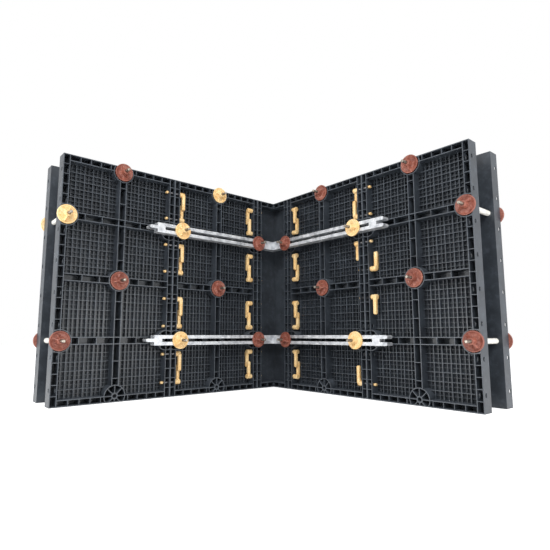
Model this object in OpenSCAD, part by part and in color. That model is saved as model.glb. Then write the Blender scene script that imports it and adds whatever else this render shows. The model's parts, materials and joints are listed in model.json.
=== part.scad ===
// Inside-corner set of plastic wall formwork: two ribbed skins held a wall's
// thickness apart by through ties, locked together at their seams, and braced
// by aluminium walers. Millimetres, Z up, standing on the floor.
//
// Every piece is drawn in the frame of its wing and then set in place:
// x runs along the wall from the inner crease, y is the depth behind the
// front faces of the inner ribs, and z is the height.

/* [Wall] */
// Clear thickness of the concrete wall between the two skins
wall_t = 150; // [120:10:400]
// Leg of the inside corner piece, along its concrete face
corner_leg = 200; // [190:10:300]

/* [Panels] */
// Width of a full panel
panel_w = 600; // [500:50:700]
// Height of every panel
panel_h = 1200; // [1100:50:1300]
// Depth of a panel, from its ribs to its concrete face
panel_d = 65; // [62:1:80]
// Thickness of the skin that meets the concrete
skin_t = 5; // [4:0.5:8]
// Width of the frame round a panel
frame_w = 32.5; // [30:0.5:40]
// Width of the double ribs between the cells
rib_w = 37; // [34:1:44]
// Thickness of the webs of frames and double ribs
web_t = 4; // [3:0.5:5]
// Thickness of the fine ribs and cross webs
fine_t = 3; // [2:0.5:4]
// Height of the fine ribs above the skin
fine_d = 20; // [10:1:21]
// Fine squares along each side of a full panel's cell, inner skin
inner_squares = 6; // [3:1:8]
// Fine squares along each side of a full panel's cell, outer skin
outer_squares = 3; // [2:1:6]

/* [Ties] */
// Diameter of the tie rod
rod_d = 15; // [12:1:16]
// Diameter of the tie holes through the panels
tie_bore_d = 20; // [18:1:22]
// Distance of the edge tie holes from the panel's edge
tie_inset = 30; // [30:1:36]
// Outer diameter of the round guard about a tie hole
guard_d = 108; // [60:1:112]
// Webs in each guard, inner skin
inner_spokes = 8; // [4:2:8]
// Webs in each guard, outer skin
outer_spokes = 4; // [4:2:8]
// Outer diameter of the sleeve that keeps the skins apart
sleeve_d = 26; // [24:1:30]
// How far a rod stands out past the face its nut bears on
rod_stub = 70; // [60:5:100]
// Diameter of the nut's round plate
plate_d = 93; // [80:1:100]
// Height of the nut's hub above the face it bears on
hub_h = 34; // [28:1:40]

/* [Locks] */
// Diameter of the locking pin
pin_d = 14; // [12:0.5:15]
// Thickness of the hammer head
head_t = 12; // [8:1:14]
// Length of the hub, between the frame and the lever
hub_l = 18; // [14:1:24]
// Depth of the locking pins behind the rib faces
pin_depth = 21; // [20:0.5:21.5]
// Play of the pin in its slot, across the slot
pin_play = 0.5; // [0.3:0.1:1]
// Length of the pin's hammer head
head_l = 20; // [18:0.5:20]
// Length of the lever from the pin's axis to its tip
lever_l = 92; // [80:1:110]
// Size of the lever along the wall
lever_w = 18; // [14:1:22]

/* [Walers] */
// Length of a waler along the wing, from the crease to the end of its block
waler_l = 855; // [800:5:1000]
// Length of the block that joins the two bars
block_l = 45; // [30:5:60]
// Length of the tongue or fork past the block
joint_l = 45; // [30:5:60]
// Height of one bar
bar_h = 18; // [16:1:24]
// Depth of a bar
bar_d = 45; // [40:1:60]
// Gap between the two bars
bar_gap = 17; // [17:1:20]
// Wall thickness of a bar
bar_t = 2.5; // [2:0.5:4]
// Leg of the corner bracket, from the crease
bracket_leg = 100; // [80:5:110]
// Play of the bracket's tongues between the bars
tongue_play = 0.2; // [0.1:0.1:0.5]

/* [Hidden] */
$fn = 48;

black = "#24272c";
yellow = "#e8b445";
brown = "#96503f";
white = "#eceae4";
steel = "#a8a39a";
aluminium = "#d4d7da";

rows = 4;
cols = 2;
row_h = panel_h / rows;
bay_h = row_h / 6;
rib_bays = 3;
front_d = panel_d - skin_t - fine_d;

// the skins in the wing's frame
corner_w = corner_leg - panel_d;
near_end = corner_w + panel_w;
wing_end = corner_w + 2 * panel_w;
stack_d = 2 * panel_d + wall_t;
filler_w = corner_leg + wall_t;
filler_start = corner_w - filler_w;

// the middle of the whole set in plan becomes the origin
wing_reach = max(wing_end, wing_end - tie_inset + plate_d / 2);
plan_shift = (wing_reach - stack_d - rod_stub) / 2;

// heights of the ties and pins
low_z = row_h;
mid_z = 2 * row_h;
high_z = 3 * row_h;
top_z = panel_h - tie_inset;
pins_per_seam = 8;
pin_pitch = panel_h / pins_per_seam;
all_pins = [0 : pins_per_seam - 1];
even_pins = [0 : 2 : pins_per_seam - 1];
odd_pins = [1 : 2 : pins_per_seam - 1];

// ties of a wing: place along the wing, height, turn of the nut's wings
near_mid = corner_w + panel_w / 2;
far_mid = near_end + panel_w / 2;
near_edge = corner_w + tie_inset;
seam_edge = near_end - tie_inset;
far_edge = wing_end - tie_inset;
plain_ties_left_brown = [[far_mid, top_z, 60], [far_edge, low_z, 20], [far_mid, mid_z, -15], [near_mid, mid_z, 75]];
plain_ties_left_yellow = [[near_mid, top_z, 10], [far_edge, high_z, -70]];
waler_ties_left_brown = [[near_edge, high_z, 85], [near_edge, low_z, 5]];
waler_ties_left_yellow = [[seam_edge, high_z, 30], [seam_edge, low_z, -40]];
plain_ties_right_brown = [[near_mid, top_z, 25], [far_mid, top_z, -80], [far_edge, high_z, 40],
    [far_edge, low_z, -50], [near_mid, mid_z, 0], [far_mid, mid_z, 65]];
waler_ties_right_brown = [[near_edge, high_z, 50], [near_edge, low_z, -20]];
waler_ties_right_yellow = [[seam_edge, high_z, -10], [seam_edge, low_z, 70]];
plain_ties_left = concat(plain_ties_left_brown, plain_ties_left_yellow);
waler_ties_left = concat(waler_ties_left_brown, waler_ties_left_yellow);
waler_ties_right = concat(waler_ties_right_brown, waler_ties_right_yellow);

// the nut's bore, hub and two ears
nut_play = 0.2;
hub_foot_r = 19;
hub_top_r = 15;
ear_r = 38;
ear_t = 6;

// levers lie in the depth between the rib faces and the fine ribs
lever_gap = 1;
lever_d = min(pin_depth - 4, front_d - pin_depth - 2);
hub_d = 2 * min(pin_depth - 7, front_d - pin_depth - 5);

// where the cells of a panel start and end
function span_lo(i, n, total) = i == 0 ? frame_w : i * total / n + rib_w / 2;
function span_hi(i, n, total) = i == n - 1 ? total - frame_w : (i + 1) * total / n - rib_w / 2;
function squares_for(width, count) = max(2, round(count * width / (panel_w / 2 - frame_w - rib_w / 2)));

// ---------- placing ----------

module left_wing() {
    translate([plan_shift, plan_shift, 0])
        mirror([1, 0, 0])
            children();
}

module right_wing() {
    translate([plan_shift, plan_shift, 0])
        rotate([0, 0, -90])
            children();
}

// the outer skin is the inner one turned to face outwards
module outwards() {
    translate([0, stack_d, 0])
        mirror([0, 1, 0])
            children();
}

// a flat shape in the plane of the wall, made solid from depth y0 to y1
module slab(y0, y1) {
    translate([0, y1, 0])
        rotate([90, 0, 0])
            linear_extrude(y1 - y0)
                children();
}

// ---------- panels ----------

module cells(w) {
    for (i = [0 : cols - 1], j = [0 : rows - 1])
        translate([span_lo(i, cols, w), span_lo(j, rows, panel_h)])
            square([span_hi(i, cols, w) - span_lo(i, cols, w),
                    span_hi(j, rows, panel_h) - span_lo(j, rows, panel_h)]);
}

// a row of equal openings with thin webs between them
module openings(size, nx, nz) {
    step_x = (size[0] + fine_t) / nx;
    step_z = (size[1] + fine_t) / nz;
    for (i = [0 : nx - 1], j = [0 : nz - 1])
        translate([i * step_x, j * step_z])
            square([step_x - fine_t, step_z - fine_t]);
}

module fine_squares(w, count) {
    for (i = [0 : cols - 1], j = [0 : rows - 1]) {
        size = [span_hi(i, cols, w) - span_lo(i, cols, w),
                span_hi(j, rows, panel_h) - span_lo(j, rows, panel_h)];
        translate([span_lo(i, cols, w), span_lo(j, rows, panel_h)])
            openings(size, squares_for(size[0], count), count);
    }
}

// pockets between the two webs of the frame
module stile_pockets() {
    for (j = [0 : rows * 6 - 1]) {
        low = j == 0 ? web_t : j * bay_h + fine_t / 2;
        high = j == rows * 6 - 1 ? panel_h - web_t : (j + 1) * bay_h - fine_t / 2;
        translate([web_t, low])
            square([frame_w - 2 * web_t, high - low]);
    }
}

module rail_pockets(w) {
    for (i = [0 : cols - 1]) {
        size = [span_hi(i, cols, w) - span_lo(i, cols, w), frame_w - 2 * web_t];
        translate([span_lo(i, cols, w), web_t])
            openings(size, round(size[0] / bay_h), 1);
    }
}

// pockets between the two webs of the ribs
module rib_pockets(w) {
    inside = rib_w - 2 * web_t;
    for (i = [1 : cols - 1], j = [0 : rows - 1]) {
        low = span_lo(j, rows, panel_h);
        translate([i * w / cols - inside / 2, low])
            openings([inside, span_hi(j, rows, panel_h) - low], 1, rib_bays);
    }
    for (i = [0 : cols - 1], j = [1 : rows - 1]) {
        low = span_lo(i, cols, w);
        translate([low, j * row_h - inside / 2])
            openings([span_hi(i, cols, w) - low, inside], rib_bays, 1);
    }
    for (j = [1, rows - 1])
        translate([w / 2 - inside / 2, j * row_h - inside / 2])
            square(inside);
}

function tie_points(w) = [
    [tie_inset, low_z], [tie_inset, high_z], [w - tie_inset, low_z], [w - tie_inset, high_z],
    [w / 2, mid_z], [w / 2, tie_inset], [w / 2, panel_h - tie_inset]
];

// ring, tube and webs about a tie hole, like a wheel
module tie_guard(spokes) {
    difference() {
        circle(d = guard_d);
        circle(d = guard_d - 2 * web_t);
    }
    circle(d = tie_bore_d + 3 * web_t);
    for (i = [0 : spokes - 1])
        rotate(i * 360 / spokes)
            translate([0, -web_t / 2])
                square([guard_d / 2 - web_t / 2, web_t]);
}

// what lies inside the outermost webs of a panel
module within_frame(w) {
    intersection() {
        translate([web_t / 2, web_t / 2])
            square([w - web_t, panel_h - web_t]);
        children();
    }
}

// everything in the plane of the wall that stands as a rib; the openings are the children
module lattice(w, spokes) {
    difference() {
        square([w, panel_h]);
        children();
        stile_pockets();
        translate([w, 0])
            mirror([1, 0])
                stile_pockets();
        rail_pockets(w);
        translate([0, panel_h])
            mirror([0, 1])
                rail_pockets(w);
        rib_pockets(w);
        intersection() {
            translate([web_t, web_t])
                square([w - 2 * web_t, panel_h - 2 * web_t]);
            for (p = tie_points(w))
                translate(p)
                    circle(d = guard_d - web_t);
        }
    }
    within_frame(w)
        for (p = tie_points(w))
            translate(p)
                tie_guard(spokes);
}

// a slot for one locking pin, through the stile from x0 to x1
module lock_slot(x0, x1) {
    r = pin_d / 2 + pin_play;
    reach = head_l / 2 + pin_play - r;
    translate([x0, pin_depth, 0])
        rotate([90, 0, 90])
            linear_extrude(x1 - x0)
                union() {
                    translate([0, reach])
                        circle(r);
                    translate([0, -reach])
                        circle(r);
                    square([2 * r, 2 * reach], center = true);
                }
}

module lock_slots(x0, x1) {
    for (k = [0 : pins_per_seam - 1])
        translate([0, 0, (k + 0.5) * pin_pitch])
            lock_slot(x0, x1);
}

module panel(w, count, spokes) {
    color(black)
        difference() {
            union() {
                slab(panel_d - skin_t, panel_d)
                    square([w, panel_h]);
                slab(front_d, panel_d - skin_t)
                    lattice(w, spokes)
                        fine_squares(w, count);
                slab(0, front_d)
                    lattice(w, spokes)
                        cells(w);
            }
            for (p = tie_points(w))
                translate([p[0], -1, p[1]])
                    rotate([-90, 0, 0])
                        cylinder(d = tie_bore_d, h = panel_d + 2);
            lock_slots(-1, frame_w + 1);
            lock_slots(w - frame_w - 1, w + 1);
        }
}

// ---------- corners ----------

// one leg of the inside corner, with the block behind the crease
module corner_half() {
    inside = corner_leg - skin_t - frame_w;
    difference() {
        slab(0, panel_d)
            translate([-panel_d, 0])
                square([corner_leg, panel_h]);
        slab(-1, panel_d - skin_t)
            translate([-panel_d + skin_t, frame_w])
                square([inside, panel_h - 2 * frame_w]);
        slab(-1, panel_d - skin_t)
            translate([corner_w, 0])
                mirror([1, 0])
                    stile_pockets();
        for (z = [web_t, panel_h - frame_w + web_t])
            slab(-1, panel_d - skin_t)
                translate([-panel_d + skin_t, z])
                    openings([inside, frame_w - 2 * web_t], 3, 1);
        lock_slots(corner_w - frame_w - 1, corner_w + 1);
    }
}

module inner_corner() {
    color(black)
        union() {
            left_wing()
                corner_half();
            right_wing()
                corner_half();
        }
}

// post that closes the outer skin at the corner: two crossed pairs of walls and level plates
module outer_corner_post() {
    color(black)
        translate([plan_shift + panel_d + wall_t, plan_shift + panel_d + wall_t, 0])
            difference() {
                union() {
                    linear_extrude(panel_h)
                        for (u = [0, frame_w - web_t]) {
                            translate([u, 0])
                                square([web_t, panel_d]);
                            translate([0, u])
                                square([panel_d, web_t]);
                        }
                    for (j = [0 : rows])
                        translate([0, 0, j * (row_h - web_t / rows)])
                            cube([panel_d, panel_d, web_t]);
                }
                for (k = [0 : pins_per_seam - 1]) {
                    height = (k + 0.5) * pin_pitch;
                    translate([0, panel_d - 2 * pin_depth, height])
                        lock_slot(-1, frame_w + 1);
                    translate([panel_d - 2 * pin_depth, 0, height])
                        mirror([1, -1, 0])
                            lock_slot(-1, frame_w + 1);
                }
            }
}

// ---------- locks ----------

// quarter-turn lock; its pin's axis is x through the seam at x = 0, its lever is on the
// side of negative x and points down, behind the pin's axis
module lock() {
    color(yellow) {
        translate([-frame_w - hub_l, 0, 0])
            rotate([0, 90, 0])
                cylinder(d = pin_d, h = 2 * frame_w + hub_l);
        translate([-frame_w - hub_l, 0, 0])
            rotate([0, 90, 0])
                cylinder(d = hub_d, h = hub_l);
        translate([frame_w, 0, 0])
            rotate([90, 0, 90])
                linear_extrude(head_t)
                    union() {
                        for (side = [-1, 1])
                            translate([side * (head_l - pin_d) / 2, 0])
                                circle(d = pin_d);
                        square([head_l - pin_d, pin_d], center = true);
                    }
        translate([-frame_w - hub_l - lever_w, 0, 0])
            rotate([90, 0, 90])
                linear_extrude(lever_w)
                    union() {
                        circle(d = hub_d);
                        translate([lever_gap / 2, lever_d / 2 - lever_l])
                            square([lever_d, lever_l - lever_d / 2]);
                        translate([(lever_gap + lever_d) / 2, lever_d / 2 - lever_l])
                            circle(d = lever_d);
                    }
    }
}

// turned for a lever that points up, or lies on the far side of the seam; the left wing's
// frame and the outer skin's are mirrored, and the lock itself never is
module lock_at(seam, k, far_side, mirrored) {
    up = k % 2 == 0;
    turn = far_side ? (up ? [0, 180, 0] : [0, 0, 180]) : (up ? [180, 0, 0] : [0, 0, 0]);
    translate([seam, pin_depth, (k + 0.5) * pin_pitch])
        mirror([0, mirrored ? 1 : 0, 0])
            rotate(turn)
                lock();
}

module locks(seam, pins, far_side, mirrored) {
    for (k = pins)
        lock_at(seam, k, far_side, mirrored);
}

// ---------- ties ----------

module tie_rod(ties, seat) {
    color(steel)
        for (t = ties)
            translate([t[0], -seat - rod_stub, t[1]])
                rotate([-90, 0, 0])
                    cylinder(d = rod_d, h = seat + stack_d + 2 * rod_stub);
}

module tie_sleeves(ties) {
    color(white)
        for (t = ties)
            translate([t[0], panel_d, t[1]])
                rotate([-90, 0, 0])
                    difference() {
                        cylinder(d = sleeve_d, h = wall_t);
                        translate([0, 0, -1])
                            cylinder(d = tie_bore_d, h = wall_t + 2);
                    }
}

// wing nut with its round plate, one moulding; it bears on z = 0
module tie_nut() {
    bore_r = rod_d / 2 + nut_play;
    rim_h = 8;
    rotate_extrude()
        polygon([
            [bore_r, 0], [plate_d / 2, 0], [plate_d / 2, rim_h], [plate_d / 2 - 5, rim_h],
            [plate_d / 2 - 8, 5], [hub_foot_r, 6], [hub_top_r, hub_h], [bore_r, hub_h]
        ]);
    for (side = [0, 180])
        rotate([90, 0, side])
            linear_extrude(ear_t, center = true)
                polygon([[hub_top_r - 3, 5], [ear_r, 4], [ear_r - 2, hub_h * 0.6], [hub_top_r - 3, hub_h - 3]]);
}

module front_nuts(ties, seat) {
    for (t = ties)
        translate([t[0], -seat, t[1]])
            rotate([90, 0, 0])
                rotate([0, 0, t[2]])
                    tie_nut();
}

module back_nuts(ties) {
    for (t = ties)
        translate([t[0], stack_d, t[1]])
            rotate([-90, 0, 0])
                rotate([0, 0, t[2] + 35])
                    tie_nut();
}

// ---------- walers ----------

// the two bars of a waler, hollow from the bracket to the block
module waler_bars(solid_end) {
    for (side = [-1, 1])
        translate([0, 0, side * (bar_gap + bar_h) / 2])
            difference() {
                slab(-bar_d, 0)
                    union() {
                        translate([bracket_leg, -bar_h / 2])
                            square([solid_end - bracket_leg, bar_h]);
                        if (solid_end > waler_l)
                            translate([solid_end, 0])
                                circle(d = bar_h);
                    }
                slab(-bar_d + bar_t, -bar_t)
                    translate([bracket_leg - 1, bar_t - bar_h / 2])
                        square([waler_l - block_l - bracket_leg + 1, bar_h - 2 * bar_t]);
            }
    slab(-bar_d, 0)
        translate([waler_l - block_l, -bar_gap / 2 - 1])
            square([block_l, bar_gap + 2]);
}

module tongue_waler(height) {
    color(aluminium)
        translate([0, 0, height]) {
            waler_bars(waler_l);
            slab(-bar_d, 0)
                union() {
                    translate([waler_l - 1, -bar_gap / 2])
                        square([joint_l + 1 - bar_gap / 2, bar_gap]);
                    translate([waler_l + joint_l - bar_gap / 2, 0])
                        circle(d = bar_gap);
                }
        }
}

module fork_waler(height) {
    color(aluminium)
        translate([0, 0, height])
            waler_bars(waler_l + joint_l - bar_h / 2);
}

// cast bracket in the crease, with a tongue between the bars of each waler
module waler_bracket(height) {
    tongue = bar_gap - 2 * tongue_play;
    full = bar_gap + 2 * bar_h;
    color(aluminium)
        translate([plan_shift, plan_shift, height])
            for (flip = [0, 1])
                mirror([flip, -flip, 0]) {
                    translate([-bracket_leg, -bar_d, -full / 2])
                        cube([bracket_leg, bar_d, full]);
                    translate([-bracket_leg - block_l, -bar_d, -tongue / 2])
                        cube([block_l + 1, bar_d, tongue]);
                }
}

// ---------- nodes ----------

left_wing() translate([near_end, 0, 0]) panel(panel_w, inner_squares, inner_spokes);  // inner_panel_left_end
left_wing() translate([corner_w, 0, 0]) panel(panel_w, inner_squares, inner_spokes);  // inner_panel_left_near
inner_corner();
right_wing() translate([corner_w, 0, 0]) panel(panel_w, inner_squares, inner_spokes);  // inner_panel_right_near
right_wing() translate([near_end, 0, 0]) panel(panel_w, inner_squares, inner_spokes);  // inner_panel_right_end

left_wing() outwards() translate([near_end, 0, 0]) panel(panel_w, outer_squares, outer_spokes);  // outer_panel_left_end
left_wing() outwards() translate([corner_w, 0, 0]) panel(panel_w, outer_squares, outer_spokes);  // outer_panel_left_near
left_wing() outwards() translate([filler_start, 0, 0]) panel(filler_w, outer_squares, outer_spokes);  // outer_filler_left
outer_corner_post();
right_wing() outwards() translate([filler_start, 0, 0]) panel(filler_w, outer_squares, outer_spokes);  // outer_filler_right
right_wing() outwards() translate([corner_w, 0, 0]) panel(panel_w, outer_squares, outer_spokes);  // outer_panel_right_near
right_wing() outwards() translate([near_end, 0, 0]) panel(panel_w, outer_squares, outer_spokes);  // outer_panel_right_end

left_wing() locks(near_end, all_pins, false, true);  // locks_inner_left_mid
left_wing() locks(corner_w, all_pins, true, true);  // locks_inner_left_corner
right_wing() locks(corner_w, all_pins, true, false);  // locks_inner_right_corner
right_wing() {  // locks_inner_right_mid
        locks(near_end, [0, 5, 6, 7], false, false);
        locks(near_end, [3, 4], true, false);
    }
left_wing() outwards() locks(near_end, even_pins, false, false);  // locks_outer_left_mid
left_wing() outwards() locks(corner_w, even_pins, true, false);  // locks_outer_left_filler
left_wing() outwards() locks(filler_start, even_pins, true, false);  // locks_outer_left_post
right_wing() outwards() locks(filler_start, odd_pins, true, true);  // locks_outer_right_post
right_wing() outwards() locks(corner_w, odd_pins, true, true);  // locks_outer_right_filler
right_wing() outwards() locks(near_end, odd_pins, false, true);  // locks_outer_right_mid

left_wing() {  // tie_rods_left
        tie_rod(plain_ties_left, 0);
        tie_rod(waler_ties_left, bar_d);
    }
right_wing() {  // tie_rods_right
        tie_rod(plain_ties_right_brown, 0);
        tie_rod(waler_ties_right, bar_d);
    }
left_wing() tie_sleeves(concat(plain_ties_left, waler_ties_left));  // tie_sleeves_left
right_wing() tie_sleeves(concat(plain_ties_right_brown, waler_ties_right));  // tie_sleeves_right

color(brown) left_wing() {  // front_nuts_brown_left
        front_nuts(plain_ties_left_brown, 0);
        front_nuts(waler_ties_left_brown, bar_d);
    }
color(yellow) left_wing() {  // front_nuts_yellow_left
        front_nuts(plain_ties_left_yellow, 0);
        front_nuts(waler_ties_left_yellow, bar_d);
    }
color(brown) right_wing() {  // front_nuts_brown_right
        front_nuts(plain_ties_right_brown, 0);
        front_nuts(waler_ties_right_brown, bar_d);
    }
color(yellow) right_wing() front_nuts(waler_ties_right_yellow, bar_d);  // front_nuts_yellow_right
color(brown) left_wing() back_nuts(concat(plain_ties_left_brown, waler_ties_left_brown));  // back_nuts_brown_left
color(yellow) left_wing() back_nuts(concat(plain_ties_left_yellow, waler_ties_left_yellow));  // back_nuts_yellow_left
color(brown) right_wing() back_nuts(concat(plain_ties_right_brown, waler_ties_right_brown));  // back_nuts_brown_right
color(yellow) right_wing() back_nuts(waler_ties_right_yellow);  // back_nuts_yellow_right

left_wing() tongue_waler(high_z);  // waler_upper_left
left_wing() tongue_waler(low_z);  // waler_lower_left
right_wing() fork_waler(high_z);  // waler_upper_right
right_wing() fork_waler(low_z);  // waler_lower_right
waler_bracket(high_z);  // waler_bracket_upper
waler_bracket(low_z);  // waler_bracket_lower
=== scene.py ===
# %% [markdown]
# # An inside-corner set of plastic wall forms
#
# The set forms an L-shaped concrete wall: two skins of ribbed black panels stand a wall's
# thickness apart, through ties hold them, yellow locks close the seams, and aluminium
# walers keep the corner straight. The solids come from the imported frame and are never
# changed. This lesson gives them their finishes, and adds what a mould or a rolling mill
# leaves on the real pieces.

# %% Load the frame
import json
import math

import bmesh
import bpy
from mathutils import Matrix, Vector


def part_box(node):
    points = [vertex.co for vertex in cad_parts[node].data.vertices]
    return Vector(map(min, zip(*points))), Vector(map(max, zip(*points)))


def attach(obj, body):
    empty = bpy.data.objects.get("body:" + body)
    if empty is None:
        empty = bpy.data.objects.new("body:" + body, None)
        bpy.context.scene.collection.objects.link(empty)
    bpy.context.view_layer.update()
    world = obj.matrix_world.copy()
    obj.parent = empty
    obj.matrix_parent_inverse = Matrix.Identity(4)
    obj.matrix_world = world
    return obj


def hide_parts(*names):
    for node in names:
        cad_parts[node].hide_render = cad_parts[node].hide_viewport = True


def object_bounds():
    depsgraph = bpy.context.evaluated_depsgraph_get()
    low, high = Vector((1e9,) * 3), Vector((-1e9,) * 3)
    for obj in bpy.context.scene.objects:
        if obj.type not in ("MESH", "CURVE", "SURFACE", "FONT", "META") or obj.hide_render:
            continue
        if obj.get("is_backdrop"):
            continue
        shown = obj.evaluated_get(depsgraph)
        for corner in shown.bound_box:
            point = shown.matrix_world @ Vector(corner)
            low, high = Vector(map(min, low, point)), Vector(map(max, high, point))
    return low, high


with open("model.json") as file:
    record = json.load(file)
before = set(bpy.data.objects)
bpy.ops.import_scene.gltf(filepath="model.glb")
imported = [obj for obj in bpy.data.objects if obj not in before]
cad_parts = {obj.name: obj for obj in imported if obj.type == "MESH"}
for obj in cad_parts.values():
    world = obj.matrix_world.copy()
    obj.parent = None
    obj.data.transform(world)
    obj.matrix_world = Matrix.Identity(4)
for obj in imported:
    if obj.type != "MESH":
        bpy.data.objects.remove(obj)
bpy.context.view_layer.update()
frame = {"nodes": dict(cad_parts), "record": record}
nodes = frame["nodes"]
MM = 0.001

# %% [markdown]
# ## Camera
#
# The set is seen from inside its corner, from a little over a quarter of its height, with
# the camera tilted up. A wide lens gives the strong perspective of the two wings. The
# camera comes first, so that every later step can be looked at.

# %% Camera
# the crease is the line where the rib faces of the two wings would meet
near_low, near_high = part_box("inner_panel_left_near")
panel_d = near_high.y - near_low.y
corner_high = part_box("inner_corner")[1]
crease = Vector((corner_high.x - panel_d, corner_high.y - panel_d, 0.0))
camera_data = bpy.data.cameras.new("camera")
camera = bpy.data.objects.new("camera", camera_data)
bpy.context.scene.collection.objects.link(camera)
# in metres from the foot of the crease
camera.location = crease + Vector((-1.925, -2.223, 0.326))
look = Vector((0.641, 0.757, 0.129)).normalized()
camera.rotation_euler = look.to_track_quat("-Z", "Y").to_euler()
camera_data.lens = 29.5
camera_data.shift_x = 0.0116
camera_data.shift_y = 0.003
bpy.context.scene.camera = camera
print("camera at", [round(v, 3) for v in camera.location])

# %% [markdown]
# ## Colours and nodes
#
# Colours are written as sRGB hex values, the way a colour card gives them, and one
# function turns them to the linear values that a shader works in. A second function adds
# a shader node with its settings and its links.

# %% Helpers for materials
def linear(hex_value):
    """An sRGB hex colour as linear red, green, blue and a full alpha, by the sRGB standard's curve."""
    channels = [int(hex_value[i:i + 2], 16) / 255 for i in (1, 3, 5)]
    return [c / 12.92 if c <= 0.04045 else ((c + 0.055) / 1.055) ** 2.4 for c in channels] + [1.0]


def add(owner, kind, settings=None, **links):
    """Adds a shader node to a material or a world, with its settings and the links that feed it.

    A link is named after its input, such as Base_Color, or after the input's number, such as _0.
    """
    node = owner.node_tree.nodes.new(kind)
    for name, value in (settings or {}).items():
        if name in node.inputs:
            node.inputs[name].default_value = value
        else:
            setattr(node, name, value)
    for name, source in links.items():
        socket = node.inputs[int(name[1:])] if name[1:].isdigit() else node.inputs[name.replace("_", " ")]
        owner.node_tree.links.new(source, socket)
    return node


def new_material(name):
    """An empty node material with its output, ready for a surface."""
    material = bpy.data.materials.new(name)
    material.use_nodes = True
    material.node_tree.nodes.clear()
    add(material, "ShaderNodeOutputMaterial")
    return material


def finish_material(material, surface):
    """Joins a shader to the material's output."""
    output = next(n for n in material.node_tree.nodes if n.bl_idname == "ShaderNodeOutputMaterial")
    material.node_tree.links.new(surface.outputs[0], output.inputs["Surface"])
    return material


def ramp(material, source, stops):
    """A colour ramp with (position, hex colour) stops."""
    node = add(material, "ShaderNodeValToRGB", _0=source)
    elements = node.color_ramp.elements
    while len(elements) < len(stops):
        elements.new(0.5)
    for element, (position, hex_value) in zip(elements, stops):
        element.position = position
        element.color = linear(hex_value)
    return node


def grain_scale(size_mm):
    """Noise scale, in object coordinates in metres, for grains of this size."""
    return 1000 / size_mm


def bumps(material, height, strength, depth_mm):
    """Bump from a height field, at a real depth."""
    settings = {"Strength": strength, "Distance": depth_mm * MM}
    return add(material, "ShaderNodeBump", settings, Height=height)


def noise(material, place, size_mm, detail, roughness=0.5):
    """Noise with grains of a real size."""
    settings = {"Scale": grain_scale(size_mm), "Detail": detail, "Roughness": roughness}
    return add(material, "ShaderNodeTexNoise", settings, Vector=place)


# %% [markdown]
# ## Black moulded plastic
#
# The panels are injection moulded from recycled polypropylene filled with glass fibre. It
# comes out of the mould nearly black with a faint blue, satin, and shinier in patches.
# Concrete dust greys what looks up. The front edges of the ribs get a painted highlight, a lighter
# grey, and these edges are found by their place: they all lie in a few planes.

# %% Black plastic
# the wings mirror each other, so one place holds across the left wing, along Y, and across
# the right one, along X
outer_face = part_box("outer_panel_left_near")[1].y
fine_setback = 40 * MM
# painted highlight: how near to a front plane a rib's edge is lightened
edge_highlight_depth = 0.4 * MM
rib_planes = [crease.y, outer_face]
fine_planes = [crease.y + fine_setback, outer_face - fine_setback]


def near_planes(material, coordinate, planes, width):
    """1 on the parts of a surface that lie within width of one of these planes, else 0."""
    total = None
    for plane in planes:
        hit = add(material, "ShaderNodeMath", {"operation": "COMPARE"}, _0=coordinate)
        hit.inputs[1].default_value = plane
        hit.inputs[2].default_value = width
        if total is None:
            total = hit
        else:
            total = add(material, "ShaderNodeMath", {"operation": "MAXIMUM"},
                        _0=total.outputs[0], _1=hit.outputs[0])
    return total.outputs[0]


def blend_to(material, colour, factor, hex_value):
    """Mixes a colour towards another one by a factor."""
    mix = add(material, "ShaderNodeMix", {"data_type": "RGBA"}, _0=factor)
    material.node_tree.links.new(colour, mix.inputs[6])
    mix.inputs[7].default_value = linear(hex_value)
    return mix.outputs[2]


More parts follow.
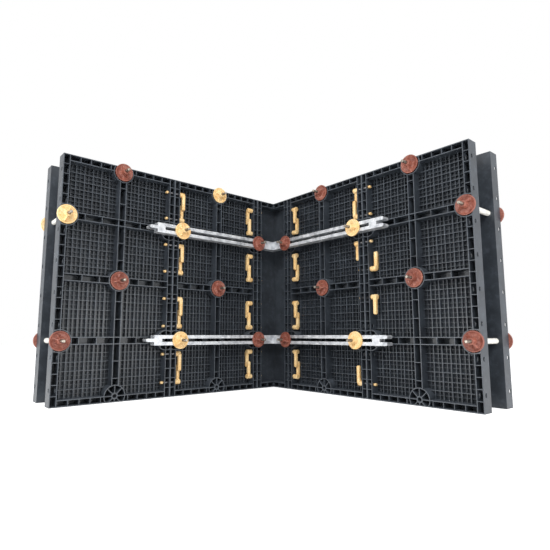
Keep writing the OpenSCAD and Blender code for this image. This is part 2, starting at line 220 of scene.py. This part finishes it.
def black_plastic():
    material = new_material("moulded_black_polypropylene")
    place = add(material, "ShaderNodeTexCoord").outputs["Object"]
    # flow marks of the melt, a hand wide
    flow = noise(material, place, 90, 4.0, 0.55)
    # dust lies in patches about 25 mm wide
    dust = noise(material, place, 25, 6.0, 0.65)
    # the mould's spark-eroded grain is 0.2 mm, drawn at 1.5 mm so that it shows
    grain = noise(material, place, 1.5, 2.0)
    base = ramp(material, flow.outputs["Fac"], [(0.3, "#2b2f35"), (0.7, "#3b4148")])
    dust_mask = add(material, "ShaderNodeMapRange", {"From Min": 0.5, "From Max": 0.75, "To Max": 0.3},
                    Value=dust.outputs["Fac"])
    dusty = blend_to(material, base.outputs["Color"], dust_mask.outputs[0], "#626973")
    # dust also settles on what looks up
    normal = add(material, "ShaderNodeNewGeometry").outputs["Normal"]
    upward = add(material, "ShaderNodeSeparateXYZ", _0=normal)
    top = add(material, "ShaderNodeMapRange", {"From Min": 0.2, "From Max": 0.9, "To Max": 0.35},
              Value=upward.outputs["Z"])
    settled = blend_to(material, dusty, top.outputs[0], "#6d747d")
    # painted highlight along the front edges: the ribs' edges are lightened most, the fine ribs' less
    xyz = add(material, "ShaderNodeSeparateXYZ", _0=place)
    dust_and_painted_highlight = settled
    for planes, most in ((rib_planes, 0.14), (fine_planes, 0.1)):
        along_y = near_planes(material, xyz.outputs["Y"], planes, edge_highlight_depth)
        along_x = near_planes(material, xyz.outputs["X"], planes, edge_highlight_depth)
        hit = add(material, "ShaderNodeMath", {"operation": "MAXIMUM"}, _0=along_x, _1=along_y)
        limits = {"From Min": 0.3, "From Max": 0.7, "To Min": most * 0.4, "To Max": most}
        highlight_strength = add(material, "ShaderNodeMapRange", limits, Value=dust.outputs["Fac"])
        factor = add(material, "ShaderNodeMath", {"operation": "MULTIPLY"},
                     _0=hit.outputs[0], _1=highlight_strength.outputs[0])
        # the painted highlight is a lighter grey, its strength varied by the dust noise
        dust_and_painted_highlight = blend_to(material, dust_and_painted_highlight, factor.outputs[0], "#868e98")
    rough = add(material, "ShaderNodeMapRange", {"To Min": 0.3, "To Max": 0.5}, Value=flow.outputs["Fac"])
    bump = bumps(material, grain.outputs["Fac"], 0.12, 0.3)
    # polypropylene has an IOR of 1.49
    surface = add(material, "ShaderNodeBsdfPrincipled", {"IOR": 1.49}, Base_Color=dust_and_painted_highlight,
                  Roughness=rough.outputs[0], Normal=bump.outputs[0])
    return finish_material(material, surface)


# %% [markdown]
# ## Coloured plastics
#
# Locks and wing nuts are moulded from glass-filled nylon, which comes out a little
# mottled, and they are handled with gloves full of grit, so their colour is worn paler in
# spots. The white sleeves are extruded from PVC and get as dirty. One function makes all
# three, because only their colours and their gloss differ.

# %% Yellow, brown and white plastic
def coloured_plastic(name, dark, plain, pale, roughness):
    material = new_material(name)
    place = add(material, "ShaderNodeTexCoord").outputs["Object"]
    # mottling by glass fibres and grit, drawn 6 mm wide
    mottle = noise(material, place, 6, 5.0, 0.6)
    cloud = noise(material, place, 40, 2.0)
    both = add(material, "ShaderNodeMix", {"data_type": "FLOAT", "Factor": 0.4},
               _2=mottle.outputs["Fac"], _3=cloud.outputs["Fac"])
    colour = ramp(material, both.outputs[0], [(0.32, dark), (0.5, plain), (0.7, pale)])
    rough = add(material, "ShaderNodeMapRange", {"To Min": roughness - 0.08, "To Max": roughness + 0.1},
                Value=mottle.outputs["Fac"])
    bump = bumps(material, mottle.outputs["Fac"], 0.25, 0.5)
    # nylon 6 and PVC both have an IOR of about 1.53
    surface = add(material, "ShaderNodeBsdfPrincipled", {"IOR": 1.53}, Base_Color=colour.outputs["Color"],
                  Roughness=rough.outputs[0], Normal=bump.outputs[0])
    return finish_material(material, surface)


# %% [markdown]
# ## Metals
#
# The tie rods are hot-rolled steel with a dull mill scale. The walers are extruded
# aluminium: the die draws fine lines along the bar, which a stretched noise gives, and
# white oxide and cement dull it in smears.

# %% Steel and aluminium
def rolled_steel():
    material = new_material("hot_rolled_steel")
    place = add(material, "ShaderNodeTexCoord").outputs["Object"]
    # mill scale flakes, 4 mm wide
    scale = noise(material, place, 4, 6.0, 0.7)
    colour = ramp(material, scale.outputs["Fac"], [(0.3, "#6f6860"), (0.55, "#a59d92"), (0.75, "#c4beb4")])
    rough = add(material, "ShaderNodeMapRange", {"To Min": 0.3, "To Max": 0.55}, Value=scale.outputs["Fac"])
    bump = bumps(material, scale.outputs["Fac"], 0.3, 0.3)
    surface = add(material, "ShaderNodeBsdfPrincipled", {"Metallic": 1.0}, Base_Color=colour.outputs["Color"],
                  Roughness=rough.outputs[0], Normal=bump.outputs[0])
    return finish_material(material, surface)


def extruded_aluminium():
    material = new_material("extruded_aluminium")
    place = add(material, "ShaderNodeTexCoord").outputs["Object"]
    # die lines are 0.8 mm apart up the bar, and stay alike for about 170 mm along it
    die_scale = (6.0, 6.0, grain_scale(0.8))
    stretched = add(material, "ShaderNodeMapping", {"Scale": die_scale}, Vector=place)
    lines = add(material, "ShaderNodeTexNoise", {"Scale": 1.0, "Detail": 3.0}, Vector=stretched.outputs[0])
    # oxide and cement smears, 30 mm wide
    smear = noise(material, place, 30, 6.0, 0.6)
    colour = ramp(material, smear.outputs["Fac"], [(0.3, "#9da0a5"), (0.5, "#c6c9cd"), (0.7, "#dfe1e3")])
    rough = add(material, "ShaderNodeMapRange", {"To Min": 0.38, "To Max": 0.58}, Value=smear.outputs["Fac"])
    # the smears and the white oxide hide part of the metal, so it mirrors only in part
    limits = {"From Min": 0.35, "From Max": 0.65, "To Min": 0.8, "To Max": 0.45}
    bare = add(material, "ShaderNodeMapRange", limits, Value=smear.outputs["Fac"])
    bump = bumps(material, lines.outputs["Fac"], 0.15, 0.2)
    surface = add(material, "ShaderNodeBsdfPrincipled", Base_Color=colour.outputs["Color"],
                  Metallic=bare.outputs[0], Roughness=rough.outputs[0], Normal=bump.outputs[0])
    return finish_material(material, surface)


# %% [markdown]
# ## Locks on a steel pin
#
# A lock's lever and hammer head are yellow nylon, moulded on a steel pin. Only the stretch
# of pin that crosses the two stiles of a seam is bare, and it is dull. The lock is one
# solid, so the material itself changes there: it compares the Object coordinate along the
# wing with the place of each seam.

# %% Lock material
stile_w = 32.5 * MM
yellow_tones = ("#d7a05a", "#eec88b", "#fae7be", 0.42)
# these places hold along X on the left wing and along Y on the right one
seam_places = [near_low.x, near_high.x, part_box("outer_filler_left")[1].x]


def lock_plastic(name, axis, seams):
    """Yellow nylon that turns to dull steel within a stile's width of each seam."""
    material = coloured_plastic(name, *yellow_tones)
    surface = next(n for n in material.node_tree.nodes if n.bl_idname == "ShaderNodeBsdfPrincipled")
    nylon_colour = surface.inputs["Base Color"].links[0].from_socket
    place = add(material, "ShaderNodeTexCoord").outputs["Object"]
    xyz = add(material, "ShaderNodeSeparateXYZ", _0=place)
    bare_pin = near_planes(material, xyz.outputs[axis], seams, stile_w)
    colour = blend_to(material, nylon_colour, bare_pin, "#6f6f72")
    material.node_tree.links.new(colour, surface.inputs["Base Color"])
    material.node_tree.links.new(bare_pin, surface.inputs["Metallic"])
    return material


lock_finishes = {
    "left": lock_plastic("lock_nylon_left_wing", "X", seam_places),
    "right": lock_plastic("lock_nylon_right_wing", "Y", seam_places),
}
print("seams of a wing at", [round(place, 4) for place in seam_places])

# %% [markdown]
# ## Every solid gets its finish
#
# The record names a material slot for each node, so one table from slot to material
# dresses all the carried-over solids.

# %% Dress the solids
finishes = {
    "black_plastic": black_plastic(),
    "yellow_plastic": coloured_plastic("moulded_yellow_nylon", *yellow_tones),
    "brown_plastic": coloured_plastic("moulded_red_brown_nylon", "#642f25", "#854a3b", "#a86d5b", 0.48),
    "white_plastic": coloured_plastic("extruded_white_pvc", "#c9c6bd", "#e4e2db", "#f2f1ec", 0.45),
    "tie_steel": rolled_steel(),
    "waler_aluminium": extruded_aluminium(),
}
slots = {entry["node"]: entry["material_slot"] for entry in frame["record"]["subparts"]}
for name, solid in nodes.items():
    solid.data.materials.clear()
    finish = finishes[slots[name]]
    if name.startswith("locks"):
        finish = lock_finishes["left" if "_left" in name else "right"]
    solid.data.materials.append(finish)
print("dressed", len(nodes), "solids")

# %% [markdown]
# ## Tools for modelling
#
# An operator acts on all that is selected, so each step starts with a clean selection. A
# finished piece keeps its place in its mesh, and its object sits at the origin.

# %% Helpers for modelling
# vertices closer together than this are taken for one
weld = 0.01 * MM


def take(*pieces):
    """Selects these objects alone; the first is the active one."""
    bpy.ops.object.select_all(action="DESELECT")
    for piece in pieces:
        piece.select_set(True)
    bpy.context.view_layer.objects.active = pieces[0]


def settle(piece):
    """Moves an object's place, turn and size into its mesh."""
    take(piece)
    bpy.ops.object.transform_apply(location=True, rotation=True, scale=True)


def copy_to(master, name, place, turn):
    """A copy with its own mesh, turned and moved, with its place in its mesh."""
    copy = master.copy()
    copy.data = master.data.copy()
    copy.name = name
    bpy.context.scene.collection.objects.link(copy)
    copy.rotation_euler = turn
    copy.location = place
    settle(copy)
    return copy


def pick(piece, kind, test):
    """In edit mode, selects the vertices, edges or faces that pass a test."""
    bpy.ops.mesh.select_mode(type={"verts": "VERT", "edges": "EDGE", "faces": "FACE"}[kind])
    bpy.ops.mesh.select_all(action="DESELECT")
    mesh = bmesh.from_edit_mesh(piece.data)
    for part in getattr(mesh, kind):
        if test(part):
            part.select_set(True)
    bmesh.update_edit_mesh(piece.data)


def remove(*pieces):
    """Deletes objects that were only a step on the way."""
    take(*pieces)
    bpy.ops.object.delete()


def finish_piece(piece, material):
    """Gives a new piece its material and makes it ride with the set."""
    piece.data.materials.clear()
    piece.data.materials.append(material)
    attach(piece, "root")
    print(piece.name, len(piece.data.polygons), "faces")


# %% [markdown]
# ## Threaded tie rods
#
# A tie rod is hot rolled with a coarse thread, 10 mm from ridge to ridge, so that a nut
# still turns when grit and cement lie in it. A thread could be a displaced cylinder, but
# its flanks would smear. Here one pitch of its profile is drawn beside the axis, and a
# Screw modifier sweeps it round and up, so each turn joins the next one exactly. The ends
# are then cut square and chamfered.

# %% Threaded rod
rod_r = 7.5 * MM
ridge_h = 0.9 * MM
pitch = 10 * MM
turn_steps = 14
chamfer = 1.5 * MM
end_taper = 0.75
thread_smooth = math.radians(35)


def threaded_rod(length):
    """A rod that stands on the origin along Z."""
    core = rod_r - ridge_h
    bpy.ops.object.select_all(action="DESELECT")
    beside = (core + pitch / 2, 0, 0)
    bpy.ops.mesh.primitive_plane_add(size=pitch, location=beside, rotation=(math.pi / 2, 0, 0))
    rod = bpy.context.object
    settle(rod)
    bpy.ops.object.mode_set(mode="EDIT")
    pick(rod, "verts", lambda vert: vert.co.x > core + pitch / 2)
    bpy.ops.mesh.delete(type="VERT")
    bpy.ops.mesh.select_all(action="SELECT")
    # five parts: core, flank, ridge, flank and core
    bpy.ops.mesh.subdivide(number_cuts=4)
    # the two vertices in the middle of the pitch become the ridge
    pick(rod, "verts", lambda vert: abs(vert.co.z) < pitch / 5)
    bpy.ops.transform.translate(value=(ridge_h, 0, 0))
    bpy.ops.object.mode_set(mode="OBJECT")
    thread = rod.modifiers.new("thread", "SCREW")
    thread.axis = "Z"
    thread.screw_offset = pitch
    # two turns more than the rod has, because the helix starts and ends ragged
    thread.iterations = math.ceil(length / pitch) + 2
    thread.steps = thread.render_steps = turn_steps
    bpy.ops.object.modifier_apply(modifier=thread.name)
    bpy.ops.object.mode_set(mode="EDIT")
    bpy.ops.mesh.select_all(action="SELECT")
    bpy.ops.mesh.remove_doubles(threshold=weld)
    bpy.ops.mesh.normals_make_consistent(inside=False)
    foot = pitch + chamfer
    top = foot + length - 2 * chamfer
    bpy.ops.mesh.select_all(action="SELECT")
    # a small threshold keeps the thread's vertices that nearly touch the cut apart from it
    cut = {"plane_no": (0, 0, 1), "use_fill": True, "threshold": 0.001 * MM}
    bpy.ops.mesh.bisect(plane_co=(0, 0, foot), clear_inner=True, **cut)
    bpy.ops.mesh.select_all(action="SELECT")
    bpy.ops.mesh.bisect(plane_co=(0, 0, top), clear_outer=True, **cut)
    for plane, step in ((foot, -chamfer), (top, chamfer)):
        pick(rod, "faces", lambda face: all(abs(v.co.z - plane) < weld for v in face.verts))
        bpy.ops.mesh.extrude_region_move(TRANSFORM_OT_translate={"value": (0, 0, step)})
        taper = (end_taper, end_taper, 1)
        bpy.ops.transform.resize(value=taper, center_override=(0, 0, plane + step))
    bpy.ops.mesh.select_all(action="SELECT")
    bpy.ops.mesh.normals_make_consistent(inside=False)
    bpy.ops.object.mode_set(mode="OBJECT")
    bpy.ops.object.shade_smooth_by_angle(angle=thread_smooth)
    rod.location.z = -pitch
    settle(rod)
    return rod


# %% [markdown]
# ## Rods on the wings
#
# The plain rods of a wing are one node. A copy of it is parted into its loose solids, and
# their boxes give each rod's place and length. A length is modelled once and copied, and
# the rods of a wing are joined into the one piece that replaces the node.

# %% Rods on the wings
def solids_of(name):
    """Lowest and highest corner of each separate solid in a node."""
    copy = copy_to(nodes[name], "solids_of_" + name, (0, 0, 0), (0, 0, 0))
    take(copy)
    bpy.ops.object.mode_set(mode="EDIT")
    bpy.ops.mesh.select_all(action="SELECT")
    bpy.ops.mesh.remove_doubles(threshold=weld)
    bpy.ops.mesh.separate(type="LOOSE")
    bpy.ops.object.mode_set(mode="OBJECT")
    parts = list(bpy.context.selected_objects)
    corners = []
    for part in parts:
        points = [vert.co for vert in part.data.vertices]
        low = Vector([min(point[i] for point in points) for i in range(3)])
        high = Vector([max(point[i] for point in points) for i in range(3)])
        corners.append((low, high))
    remove(*parts)
    return sorted(corners, key=lambda pair: tuple(round(value, 4) for value in pair[0]))


masters = {}
for wing in ("left", "right"):
    # the rods of the left wing lie along Y, which is axis 1, and those of the right along X
    along = 1 if wing == "left" else 0
    # a rod that stands up is laid along +Y in the left wing and along +X in the right wing
    turn = (-math.pi / 2, 0, 0) if wing == "left" else (0, math.pi / 2, 0)
    rods = []
    for low, high in solids_of("tie_rods_" + wing):
        length = round(high[along] - low[along], 4)
        if length not in masters:
            masters[length] = threaded_rod(length)
        place = (low + high) / 2
        place[along] = low[along]
        rods.append(copy_to(masters[length], f"rod_{wing}_{len(rods)}", place, turn))
    take(*rods)
    bpy.ops.object.join()
    piece = rods[0]
    piece.name = "threaded_rods_" + wing
    finish_piece(piece, finishes["tie_steel"])
    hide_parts("tie_rods_" + wing)
remove(*masters.values())
print("rod lengths", sorted(masters))

# %% [markdown]
# ## Rounded mouldings
#
# Locks and wing nuts come out of their moulds with round outer edges, and a soft edge is
# what catches the light. Each node is copied, the triangles on its flat sides are
# dissolved, and the sharp edges that stand out are beveled. Edges in a hollow stay sharp,
# so that nothing grows into its neighbours. The bevel isn't clamped, because one short
# edge would then make it tiny everywhere.

# %% Rounded locks and nuts
lock_round = 2.5 * MM
nut_round = 1.5 * MM
round_steps = 3
flat_angle = math.radians(1)
sharp_angle = math.radians(35)
smooth_angle = math.radians(40)


def rounded(name, radius):
    """A copy of a node's solids with their sharp outer edges rounded."""
    piece = copy_to(nodes[name], "rounded_" + name, (0, 0, 0), (0, 0, 0))
    take(piece)
    bpy.ops.object.mode_set(mode="EDIT")
    bpy.ops.mesh.select_all(action="SELECT")
    bpy.ops.mesh.remove_doubles(threshold=weld)
    bpy.ops.mesh.dissolve_limited(angle_limit=flat_angle)
    pick(piece, "edges", lambda edge: edge.is_convex and edge.calc_face_angle(0) > sharp_angle)
    bpy.ops.mesh.bevel(offset=radius, segments=round_steps, affect="EDGES", clamp_overlap=False)
    bpy.ops.mesh.select_all(action="SELECT")
    bpy.ops.mesh.normals_make_consistent(inside=False)
    bpy.ops.object.mode_set(mode="OBJECT")
    bpy.ops.object.shade_smooth_by_angle(angle=smooth_angle)
    return piece


for name in sorted(nodes):
    if not name.startswith("locks") and "nuts" not in name:
        continue
    piece = rounded(name, lock_round if name.startswith("locks") else nut_round)
    finish_piece(piece, nodes[name].data.materials[0])
    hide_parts(name)

# %% [markdown]
# ## The finest ribs
#
# Between the fine ribs of a panel's cells stand thinner and lower ones, half way from rib
# to rib. They stiffen the skin against wet concrete. Their places follow from the panel: it
# has a stile all round, double ribs between its cells, and round guards at its ties.

# %% Sizes of the finest ribs
double_rib_w = 37 * MM
fine_rib_t = 3 * MM
fine_rib_h = 20 * MM
thin_rib_t = 1.8 * MM
thin_rib_h = 14 * MM
# from the ribs' front edges to the sheet behind the cells, and how far ribs reach into it
sheet_depth = 60 * MM
seat = 1 * MM
guard_r = 54 * MM
tie_inset = 30 * MM
cell_rows, cell_columns = 4, 2
panel_h = near_high.z
# a full panel is 600 mm wide, and a filler 350 mm
full_width_from = 500 * MM


def cell_spans(total, count):
    """Start and end of each cell, between the frame and the double ribs."""
    step = total / count
    starts = [stile_w] + [i * step + double_rib_w / 2 for i in range(1, count)]
    ends = [i * step - double_rib_w / 2 for i in range(1, count)] + [total - stile_w]
    return list(zip(starts, ends))


def on_even_line(value, start, step, reach):
    """Whether a place lies on a line with an even number, in a row of lines from start."""
    number = round((value - start) / step)
    return number % 2 == 0 and abs(value - start - number * step) < reach


# %% [markdown]
# ## Pockets round the ties
#
# Where a tie passes, a panel has a round guard, and no fine rib crosses its pocket. A
# cylinder stands for each pocket, and one Boolean modifier cuts them all out of the ribs.

# %% Pockets
def cut_guards(ribs, width):
    """Cuts away what lies inside the round guards of the tie holes."""
    edge = width / 2 - tie_inset
    row_h = panel_h / cell_rows
    # one and three rows up on both edges, and at the foot, half way and the top in the middle
    places = [(x, y) for x in (-edge, edge) for y in (row_h, 3 * row_h)]
    places += [(0, y) for y in (tie_inset, 2 * row_h, panel_h - tie_inset)]
    pocket = {"vertices": 48, "radius": guard_r - seat, "depth": 100 * MM}
    cutters = []
    for x, y in places:
        bpy.ops.object.select_all(action="DESELECT")
        bpy.ops.mesh.primitive_cylinder_add(location=(x, y, 0), **pocket)
        cutters.append(bpy.context.object)
    take(*cutters)
    bpy.ops.object.join()
    cutter = cutters[0]
    settle(cutter)
    take(ribs)
    cut = ribs.modifiers.new("guards", "BOOLEAN")
    cut.operation = "DIFFERENCE"
    cut.solver = "EXACT"
    cut.object = cutter
    bpy.ops.object.modifier_apply(modifier=cut.name)
    remove(cutter)


# %% [markdown]
# ## One panel's ribs
#
# The ribs could be hundreds of thin bars, but bars overlap where they cross. Each cell
# starts instead as a flat grid whose lines are the ribs' middles: every second line is a
# rib that the solid panel already has. The faces are inset one by one, the squares and the
# strips on the existing ribs are deleted, and what stays is extruded to the ribs' height.

# %% One panel's ribs
def half_way_ribs(width, across, up, rib_t, height):
    """Ribs half way between the lines that part each cell in across x up squares, lying flat."""
    cells = []
    for left, right in cell_spans(width, cell_columns):
        for low, high in cell_spans(panel_h, cell_rows):
            size_x = right - left + fine_rib_t
            size_y = high - low + fine_rib_t
            start_x = left - fine_rib_t / 2 - width / 2
            start_y = low - fine_rib_t / 2
            bpy.ops.object.select_all(action="DESELECT")
            bpy.ops.mesh.primitive_grid_add(x_subdivisions=2 * across, y_subdivisions=2 * up, size=1)
            cell = bpy.context.object
            cell.scale = (size_x, size_y, 1)
            cell.location = (start_x + size_x / 2, start_y + size_y / 2, 0)
            settle(cell)
            bpy.ops.object.mode_set(mode="EDIT")
            bpy.ops.mesh.select_all(action="SELECT")
            # after the inset, the squares between the ribs are what stays selected
            bpy.ops.mesh.inset(thickness=rib_t / 2, use_individual=True)
            bpy.ops.mesh.delete(type="FACE")
            step_x = size_x / (2 * across)
            step_y = size_y / (2 * up)

            def on_solid_rib(face):
                middle = face.calc_center_median()
                return (on_even_line(middle.x, start_x, step_x, rib_t)
                        or on_even_line(middle.y, start_y, step_y, rib_t))

            pick(cell, "faces", on_solid_rib)
            bpy.ops.mesh.delete(type="FACE")
            bpy.ops.object.mode_set(mode="OBJECT")
            cells.append(cell)
    take(*cells)
    bpy.ops.object.join()
    ribs = cells[0]
    bpy.ops.object.mode_set(mode="EDIT")
    bpy.ops.mesh.select_all(action="SELECT")
    bpy.ops.mesh.extrude_region_move(TRANSFORM_OT_translate={"value": (0, 0, height + seat)})
    bpy.ops.mesh.select_all(action="SELECT")
    bpy.ops.mesh.normals_make_consistent(inside=False)
    bpy.ops.object.mode_set(mode="OBJECT")
    cut_guards(ribs, width)
    return ribs


# %% [markdown]
# ## Ribs on every panel
#
# The inner panels are alike, the outer ones are too, and the fillers are narrower. So the
# ribs of each kind are modelled once, lying flat, and copied to the walls. On the outer
# skin they are made in two rounds, because its solid panels have wider squares.

# %% Ribs on the panels
# one set of ribs for each skin and width of panel
rib_masters = {}


def ribs_for(skin, width):
    """The ribs of one kind of panel, modelled the first time they are asked for."""
    key = (skin, round(width, 3))
    if key not in rib_masters:
        # a cell of the solid inner panels has 6 x 6 squares, and one of the outer panels 3 x 3
        if skin == "inner":
            made = half_way_ribs(width, 6, 6, thin_rib_t, thin_rib_h)
        else:
            across = 3 if width > full_width_from else 2
            made = half_way_ribs(width, across, 3, fine_rib_t, fine_rib_h)
            thin = half_way_ribs(width, 2 * across, 6, thin_rib_t, thin_rib_h)
            take(made, thin)
            bpy.ops.object.join()
        made.rotation_euler = (math.pi / 2, 0, 0)
        settle(made)
        rib_masters[key] = made
    return rib_masters[key]


for name in sorted(nodes):
    # a known fault: the test also takes the locks at the fillers, whose names hold "filler",
    # and they get a narrow ladder of ribs that the real set lacks
    if "panel" not in name and "filler" not in name:
        continue
    low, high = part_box(name)
    middle = (low + high) / 2
    skin = "outer" if name.startswith("outer") else "inner"
    depth = sheet_depth + seat
    if "_left" in name:
        width = high.x - low.x
        place = (middle.x, high.y - depth if skin == "outer" else low.y + depth, 0)
        turn = math.pi if skin == "outer" else 0
    else:
        width = high.y - low.y
        place = (high.x - depth if skin == "outer" else low.x + depth, middle.y, 0)
        turn = math.pi / 2 if skin == "outer" else -math.pi / 2
    piece = copy_to(ribs_for(skin, width), "fine_ribs_" + name, place, (0, 0, turn))
    finish_piece(piece, finishes["black_plastic"])
remove(*rib_masters.values())

# %% [markdown]
# ## Floor and backdrop
#
# A white floor and a white world stand in for a studio sweep. What the camera and the
# gloss see is white, and the light on the object stays at a plain level.

# %% Stage
floor_r = 14.0
# the floor lies a hair under the set, so that their faces don't flicker through each other
floor_gap = 0.5 * MM
floor_glow = 0.62


def is_seen(owner):
    """1 for the camera's, glossy and transmission rays, and 0 for the light that falls on things."""
    rays = add(owner, "ShaderNodeLightPath")
    direct = add(owner, "ShaderNodeMath", {"operation": "MAXIMUM"},
                 _0=rays.outputs["Is Camera Ray"], _1=rays.outputs["Is Glossy Ray"])
    seen = add(owner, "ShaderNodeMath", {"operation": "MAXIMUM"},
               _0=direct.outputs[0], _1=rays.outputs["Is Transmission Ray"])
    return seen.outputs[0]


def stage_material():
    material = new_material("stage_white")
    seen = is_seen(material)
    paint = add(material, "ShaderNodeBsdfDiffuse", {"Color": linear("#f4f4f4")})
    glow = add(material, "ShaderNodeEmission", {"Color": linear("#ffffff"), "Strength": floor_glow})
    both = add(material, "ShaderNodeAddShader", _0=paint.outputs[0], _1=glow.outputs[0])
    mixed = add(material, "ShaderNodeMixShader", _0=seen, _1=paint.outputs[0], _2=both.outputs[0])
    return finish_material(material, mixed)


bpy.ops.object.select_all(action="DESELECT")
bpy.ops.mesh.primitive_circle_add(vertices=96, radius=floor_r, fill_type="NGON", location=(0, 0, -floor_gap))
floor = bpy.context.object
floor.name = "floor"
settle(floor)
floor.data.materials.append(stage_material())
floor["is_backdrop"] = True
print("floor", floor_r, "m in radius")

# %% [markdown]
# ## World and lamps
#
# A key lamp behind the camera, a fill lamp on its left and a lamp behind the set are
# large, so that their shadows are soft. Black gloss shows mostly what it mirrors, so two
# small lamps stand low, where the skins mirror them towards the camera.

# %% World and lamps
world_light = 0.62
world = bpy.data.worlds.new("studio")
bpy.context.scene.world = world
world.use_nodes = True
world.node_tree.nodes.clear()
strength = add(world, "ShaderNodeMapRange", {"To Min": world_light, "To Max": 1.0}, Value=is_seen(world))
background = add(world, "ShaderNodeBackground", {"Color": linear("#ffffff")}, Strength=strength.outputs[0])
add(world, "ShaderNodeOutputWorld", Surface=background.outputs[0])


def lamp(name, place, target, size, power):
    """A soft square lamp that faces a point."""
    data = bpy.data.lights.new(name, "AREA")
    data.size = size
    data.energy = power
    light = bpy.data.objects.new(name, data)
    bpy.context.scene.collection.objects.link(light)
    light.location = place
    light.rotation_euler = (Vector(target) - Vector(place)).to_track_quat("-Z", "Y").to_euler()
    print("lamp", name, power, "W")


aim = Vector((0.1, 0.1, 0.6))
lamp("key", (-2.6, -3.4, 3.2), aim, 2.2, 125)
lamp("fill", (-4.2, -0.6, 2.3), aim, 2.0, 66)
lamp("back", (2.6, 3.0, 3.2), aim, 2.5, 60)
lamp("low_right", crease + Vector((0.15, -3.3, 0.4)), crease + Vector((-1.1, 0, 0.35)), 0.3, 25)
lamp("low_left", crease + Vector((-3.3, 0.4, 0.4)), crease + Vector((0, -1.1, 0.35)), 0.3, 25)
bpy.context.scene.view_settings.view_transform = "Standard"

# %% [markdown]
# ## Sizes
#
# The box of the dressed model, without the floor, is found. The dressed model has to
# keep the box of the solids.

# %% Sizes and the end
low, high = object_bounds()
